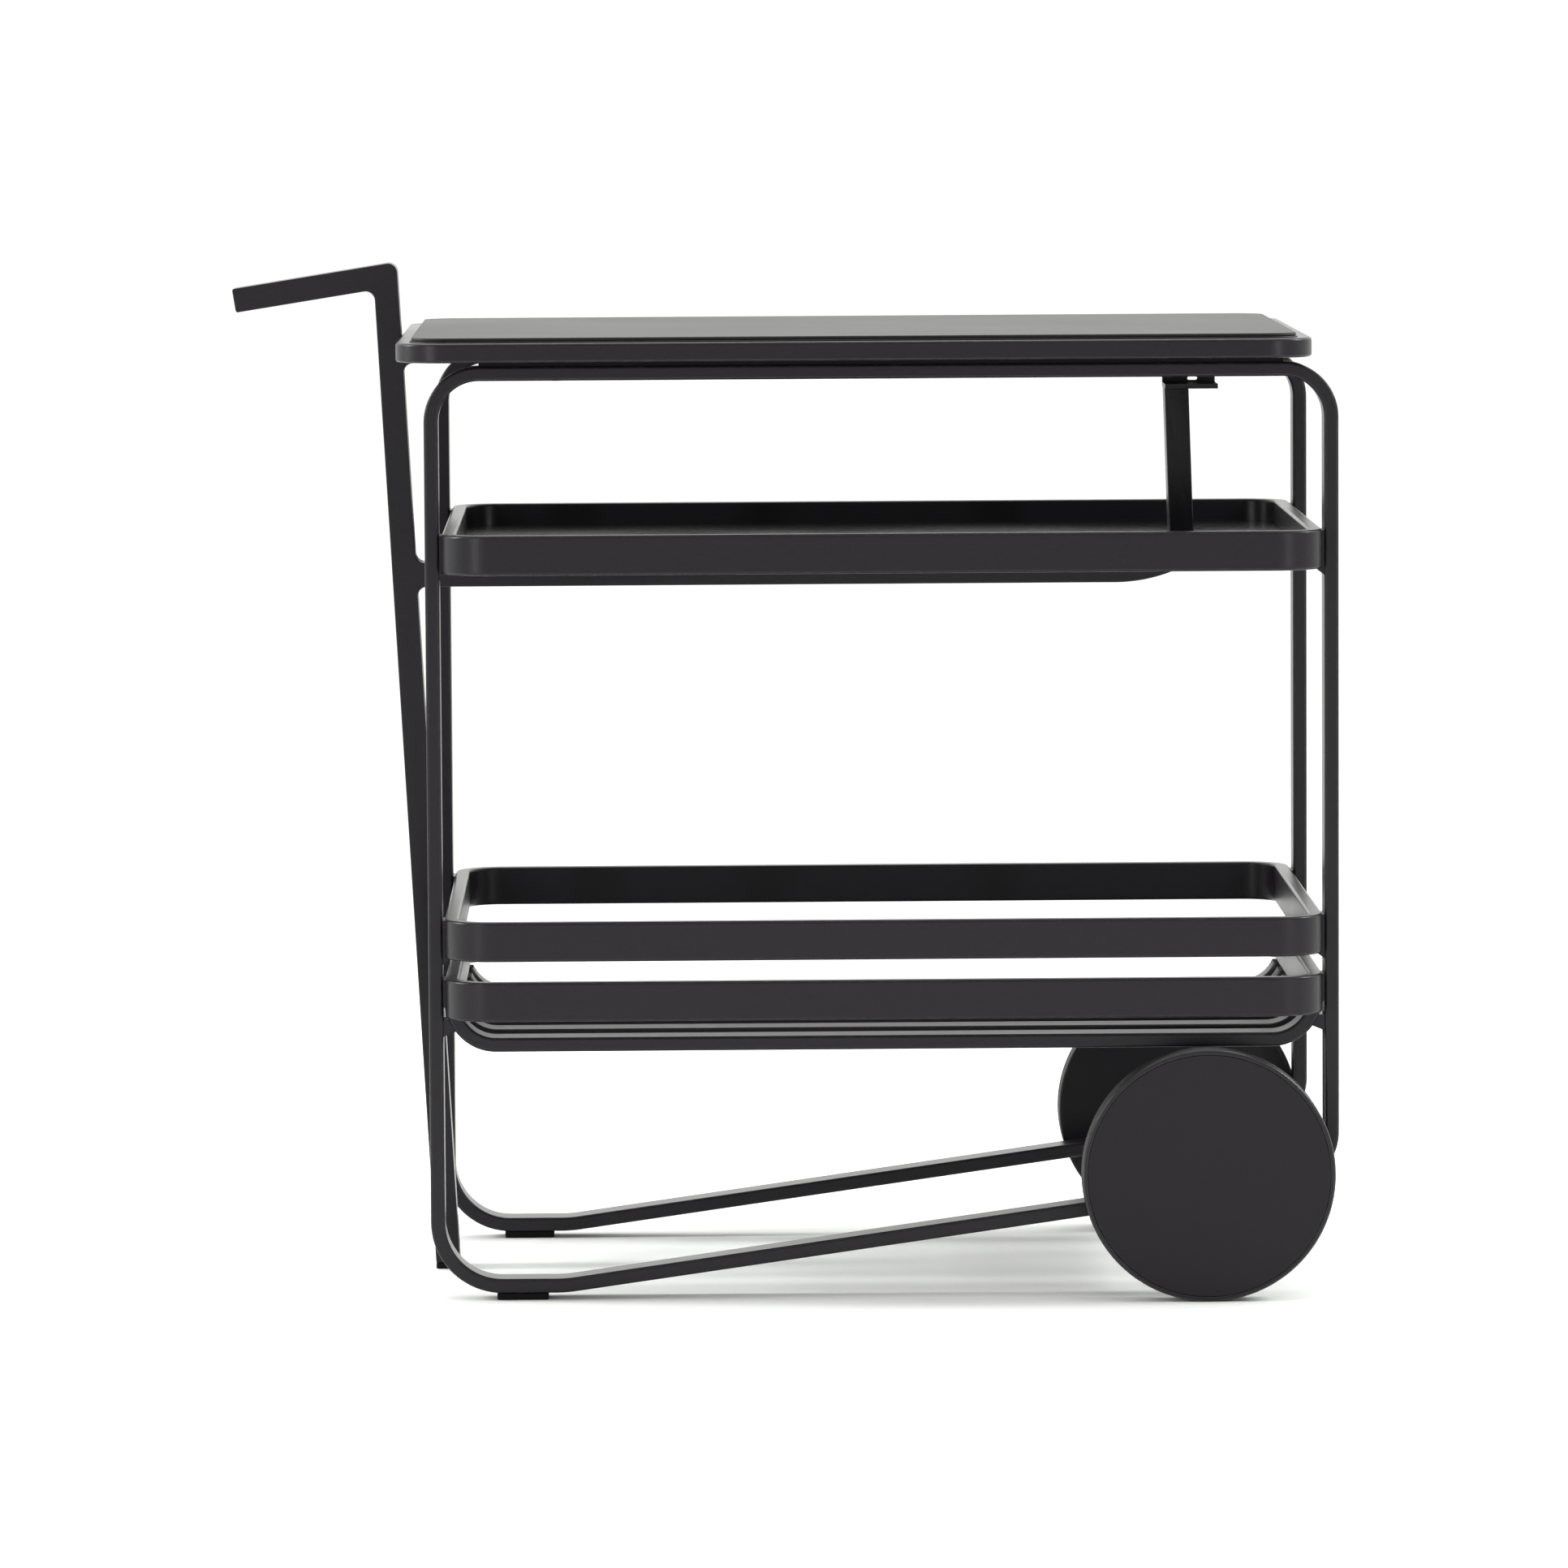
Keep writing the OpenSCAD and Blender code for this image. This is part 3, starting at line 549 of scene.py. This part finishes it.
def slat(name):
    """Flat bar with both ends bent up and cut level.

    In a bend each point of the section keeps its own radius r from the bend's centre and stops at its own
    angle, acos(drop / r) from straight down, where drop is how far the cut lies under the centre.
    """
    low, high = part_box(name)
    centre_z = low.z + SLAT_BEND_RADIUS
    drop = centre_z - high.z
    section = bar_profile(low.y, high.y)
    out, sideways = section.outward[None, :, 0, None], section.outward[None, :, 1, None]
    r = SLAT_BEND_RADIUS + section.points[:, 0]
    stop = np.arccos(drop / r)
    share = np.linspace(1, 0, ARC_STEPS + 1)[:, None]
    across, up = np.array((0, 1.0, 0)), np.array((0, 0, 1.0))
    points, directions = [], []
    for x, side, shares in ((left_bend, -1, share), (right_bend, 1, share[::-1])):
        angle = shares * stop[None, :]
        radial = np.stack((side * np.sin(angle), 0 * angle, -np.cos(angle)), axis=-1)
        centre = np.array((x, 0, centre_z))
        points.append(centre + r[None, :, None] * radial + section.points[None, :, 1, None] * across)
        directions.append(out * radial + sideways * across)
    points, directions = np.concatenate(points), np.concatenate(directions)
    wear = np.broadcast_to(section.wear(), points.shape[:2])
    shell = Shell()
    first = shell.grid(points[::-1], directions[::-1], wear, False, True)
    rows, columns = points.shape[:2]
    shell.lid(first + np.arange(columns), up)
    shell.lid(first + (rows - 1) * columns + np.arange(columns)[::-1], up)
    shell.piece(name, "bar", COAT)


def half_across(lean):
    """Half the length of a level cut through the spine's bar where it leans."""
    return SPINE_THICK / 2 / math.cos(lean)


def spine():
    """Leaning spine with the grip, the arm under the tray and the arm under the top, cut from one thick bar.

    The spine's left line, x = foot - half - lean (z - bottom), and the grip's lower line, z = tip's z + slope
    (x - tip's x), meet at the inner corner, solved for x. The end of the arm under the tray is an arc that
    turns by acos(1 - thickness / radius).
    """
    slope, lean, half = math.tan(GRIP_SLOPE), math.tan(SPINE_LEAN), half_across(SPINE_LEAN)
    foot_low, foot_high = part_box("spine_foot_pad")
    foot_x = (foot_low.x + foot_high.x) / 2

    def right_side(z):
        return foot_x + half - (z - spine_low.z) * lean

    top = spine_high.z + apex_cut()
    tip_z = top - (right_side(top) - spine_low.x) * slope
    under_tip_x = spine_low.x + SPINE_THICK * math.sin(GRIP_SLOPE)
    under_tip_z = tip_z - SPINE_THICK * math.cos(GRIP_SLOPE)
    inner_x = (foot_x - half + lean * (spine_low.z - under_tip_z + under_tip_x * slope)) / (1 + lean * slope)
    inner_z = under_tip_z + (inner_x - under_tip_x) * slope
    arm_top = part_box("arm_pads")[0].z
    arm_bottom = arm_top - SPINE_THICK
    arm_end = post_foot_x() + ARM_PAST_POST
    arm_turn = math.acos(1 - SPINE_THICK / ARM_END_RADIUS)
    arm_bend = arm_end - ARM_END_RADIUS * (math.sin(arm_turn) - math.tan(arm_turn / 2))
    top_arm = rim_low.z - TOP_ARM_THICK
    corners = (
        (foot_x - half, spine_low.z, NOSE),
        (foot_x + half, spine_low.z, NOSE),
        (right_side(arm_bottom), arm_bottom, HANDLE_INNER_RADIUS),
        (arm_bend, arm_bottom, ARM_END_RADIUS * ARM_ARC_SHARE),
        (arm_end, arm_top, NOSE),
        (right_side(arm_top), arm_top, HANDLE_INNER_RADIUS),
        (right_side(top_arm), top_arm, HANDLE_INNER_RADIUS),
        (bracket_high.x, top_arm, NOSE),
        (bracket_high.x, rim_low.z, NOSE),
        (right_side(rim_low.z), rim_low.z, NOSE),
        (right_side(top), top, HANDLE_OUTER_RADIUS),
        (spine_low.x, tip_z, 2 * NOSE),
        (under_tip_x, under_tip_z, 2 * NOSE),
        (inner_x, inner_z, HANDLE_INNER_RADIUS),
    )
    shell = Shell()
    plate(shell, corners, UPRIGHT, spine_low.y, spine_high.y, NOSE)
    shell.piece("handle_spine", "bar", COAT)


def apex_cut():
    """How much lower the round corner's highest point lies than the sharp corner of grip and upright."""
    corner = math.pi / 2 + SPINE_LEAN - GRIP_SLOPE
    bisector = math.pi + GRIP_SLOPE + corner / 2
    return -HANDLE_OUTER_RADIUS * (math.sin(bisector) / math.sin(corner / 2) + 1)


def post_foot_x():
    """Middle of the post's foot."""
    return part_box("centre_post")[1].x - half_across(POST_LEAN)


def post():
    """Leaning post from the tray's floor to its bracket."""
    low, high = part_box("centre_post")
    half = half_across(POST_LEAN)
    foot, head = post_foot_x(), low.x + half
    corners = (
        (foot - half, low.z, NOSE),
        (foot + half, low.z, NOSE),
        (head + half, high.z, NOSE),
        (head - half, high.z, NOSE),
    )
    shell = Shell()
    plate(shell, corners, UPRIGHT, low.y, high.y, NOSE, POST_STEPS)
    shell.piece("centre_post", "bar", COAT)


def level_plate(name, ending, finish, radius, edge, steps=ARC_STEPS):
    """Sheet, board or foot pad that fills its box, with rounded upright corners and softened edges."""
    low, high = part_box(name)
    shell = Shell()
    plate(shell, rectangle(low.x, high.x, low.y, high.y, radius), LEVEL, low.z, high.z, edge, steps)
    shell.piece(name, ending, finish)


def wheel(side, name):
    """Tyre band and flush cover of one wheel, on the side of the cart that side names: -1 front, 1 back."""
    body = name + "_wheel"
    low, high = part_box(body + "_tyre")
    cover_low, cover_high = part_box(body + "_cover")
    centre = (axle_x, 0, axle_z)
    radius = (high.z - low.z) / 2
    inner = (cover_high.z - cover_low.z) / 2
    near, far = sorted((abs(low.y), abs(high.y)))
    tyre = rounded((
        (near, inner, TYRE_SEAT_EDGE),
        (far, inner, TYRE_LIP),
        (far, radius, TYRE_EDGE),
        (near, radius, TYRE_EDGE),
    ), TYRE_STEPS)
    shell = Shell()
    turned(shell, tyre, centre, side)
    shell.piece(body + "_tyre", "band", TYRE, body)
    angles = np.linspace(0, 2 * math.pi, WHEEL_STEPS, endpoint=False)
    circle = np.stack((np.cos(angles), np.sin(angles)), axis=1)
    disc = Path(circle * (inner - COVER_GAP), circle)
    thickness = rim_profile(min(abs(cover_low.y), abs(cover_high.y)), far, TYRE_LIP)
    plane = np.array((-side, 0.0, 0.0)), np.array((0, 0, 1.0)), np.array((0.0, side, 0.0))
    shell = Shell()
    carry(shell, disc, thickness, plane, centre, closed_profile=False)
    shell.piece(body + "_cover", "disc", WHEEL_COAT, body)


def dress(nodes, finish):
    """Gives CAD nodes a finish."""
    for name in nodes:
        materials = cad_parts[name].data.materials
        if not materials:
            materials.append(finish)
        for i in range(len(materials)):
            materials[i] = finish


def soften(nodes):
    """Breaks the sharp edges of CAD nodes."""
    for name in nodes:
        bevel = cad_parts[name].modifiers.new("broken_edges", "BEVEL")
        bevel.width = BROKEN_EDGE
        bevel.segments = 2
        bevel.limit_method = "ANGLE"
        bevel.angle_limit = SHARP_ANGLE
        bevel.harden_normals = True


for each in ("front_frame", "back_frame"):
    upright_frame(each)
for each in ("middle_tray_rim", "upper_rail", "lower_rail", "top_rim"):
    ring(each)
for number in range(1, 8):
    slat("shelf_slat_%d" % number)
spine()
post()
level_plate("top_plate", "sheet", SHEET_COAT, board_radius - PLATE_GAP, PLATE_EDGE)
level_plate("top_core", "sheet", BOARD, board_radius, BOARD_EDGE)
level_plate("middle_tray_floor", "sheet", TRAY_COAT, board_radius, BOARD_EDGE)
for each in ("front_foot_pad", "back_foot_pad", "spine_foot_pad"):
    level_plate(each, "block", PAD, PAD_RADIUS, PAD_EDGE, PAD_STEPS)
wheel(-1, "front")
wheel(1, "back")

dress(["spine_tie_block", "middle_tray_ribs", "arm_pads", "middle_tray_gussets", "upper_rail_gussets",
       "lower_rail_gussets", "axle_tube", "axle_saddles", "post_bracket"], COAT)
dress(["front_wheel_core", "back_wheel_core"], WHEEL_COAT)
dress(["front_wheel_bushes", "back_wheel_bushes"], BUSH)
dress(["axle", "front_wheel_washer", "back_wheel_washer"], AXLE_STEEL)
dress(["top_screws", "bracket_screws", "foot_screws", "axle_spacers", "front_wheel_clip", "back_wheel_clip"],
      SCREW_STEEL)
dress(["top_spacers"], PAD)
soften(["spine_tie_block", "middle_tray_ribs", "post_bracket", "axle_saddles"])


# ---------------------------------------------------------------- studio

CAMERA_PLACE = (frame_low.x + 202.4 * MM, -7877 * MM, 1091 * MM)
CAMERA_YAW = math.radians(0.710)
CAMERA_PITCH = math.radians(4.912)
CAMERA_ROLL = math.radians(-0.345)
CAMERA_LENS = 212.17
CAMERA_SENSOR = 36

# The room's strength, and where it grows, as the sine of the direction's angle
ROOM_FRONT = 0.27
ROOM_BACK = 1.6
ROOM_TOP = 0.6
BACK_RAMP = (-0.2, 0.7)
TOP_RAMP = (0.1, 0.9)
ROOM_TINT = (0.985, 1.0, 0.965, 1)
FLOOR_REACH = 60
LIGHT_TINT = (0.98, 1.0, 0.96)
AIM = Vector((0, 0, 0.45))


def camera():
    """Long lens a little above the top, turned by yaw, pitch and roll."""
    sy, cy = math.sin(CAMERA_YAW), math.cos(CAMERA_YAW)
    sp, cp = math.sin(CAMERA_PITCH), math.cos(CAMERA_PITCH)
    sr, cr = math.sin(CAMERA_ROLL), math.cos(CAMERA_ROLL)
    forward = Vector((sy * cp, cy * cp, -sp))
    level = Vector((cy, -sy, 0))
    above = level.cross(forward)
    right = level * cr + above * sr
    up = above * cr - level * sr
    data = bpy.data.cameras.new("camera")
    data.lens = CAMERA_LENS
    data.sensor_width = CAMERA_SENSOR
    data.clip_start, data.clip_end = 0.1, 200
    made = bpy.data.objects.new("camera", data)
    turn = Matrix((right, up, -forward)).transposed().to_4x4()
    made.matrix_world = Matrix.Translation(CAMERA_PLACE) @ turn
    bpy.context.scene.collection.objects.link(made)
    bpy.context.scene.camera = made


def floor():
    """Wide white floor."""
    mesh = bpy.data.meshes.new("studio_floor")
    corners = [(FLOOR_REACH * x, FLOOR_REACH * y, 0) for x, y in ((-1, -1), (1, -1), (1, 1), (-1, 1))]
    mesh.from_pydata(corners, [], [(0, 1, 2, 3)])
    f = Finish("studio_floor", Roughness=0.9, Specular_IOR_Level=0.0)
    f.feed("Base Color", f.mix(f.noise(3, 2.0) * 0.02, FLOOR_WHITE, FLOOR_SHADE))
    mesh.materials.append(f.material)
    made = bpy.data.objects.new("studio_floor", mesh)
    bpy.context.scene.collection.objects.link(made)


def soft_light(name, place, width, height, power, colour=(1, 1, 1)):
    """Rectangular softbox that faces the middle of the cart."""
    data = bpy.data.lights.new(name, "AREA")
    data.shape = "RECTANGLE"
    data.size, data.size_y = width, height
    data.energy = power
    data.color = colour
    made = bpy.data.objects.new(name, data)
    made.location = place
    made.rotation_mode = "QUATERNION"
    made.rotation_quaternion = (AIM - Vector(place)).to_track_quat("-Z", "Y")
    bpy.context.scene.collection.objects.link(made)


def surroundings():
    """Pale room, dim at the front, bright at the back and overhead: its strength is the sum of two ramps."""
    world = bpy.data.worlds.new("studio")
    bpy.context.scene.world = world
    g = Graph(world, "Background", Color=ROOM_TINT)
    towards = g.node("ShaderNodeTexCoord", output="Generated")
    back = g.part(towards, "Y").above(*BACK_RAMP)
    top = g.part(towards, "Z").above(*TOP_RAMP)
    g.feed("Strength", ROOM_FRONT + back * (ROOM_BACK - ROOM_FRONT) + top * ROOM_TOP)


camera()
floor()
surroundings()
soft_light("top_softbox", (0, 0.2, 3.0), 3.0, 2.4, 40)
soft_light("left_softbox", (-2.5, 0.0, 1.5), 0.4, 1.1, 42, LIGHT_TINT)
soft_light("right_softbox", (2.5, -0.1, 1.9), 0.4, 1.1, 42, LIGHT_TINT)
soft_light("front_left_strip", (-3.1, -4.5, 1.3), 0.25, 1.6, 44)
soft_light("front_right_strip", (3.1, -4.5, 1.3), 0.25, 1.6, 30)
bpy.context.scene.view_settings.view_transform = "Standard"
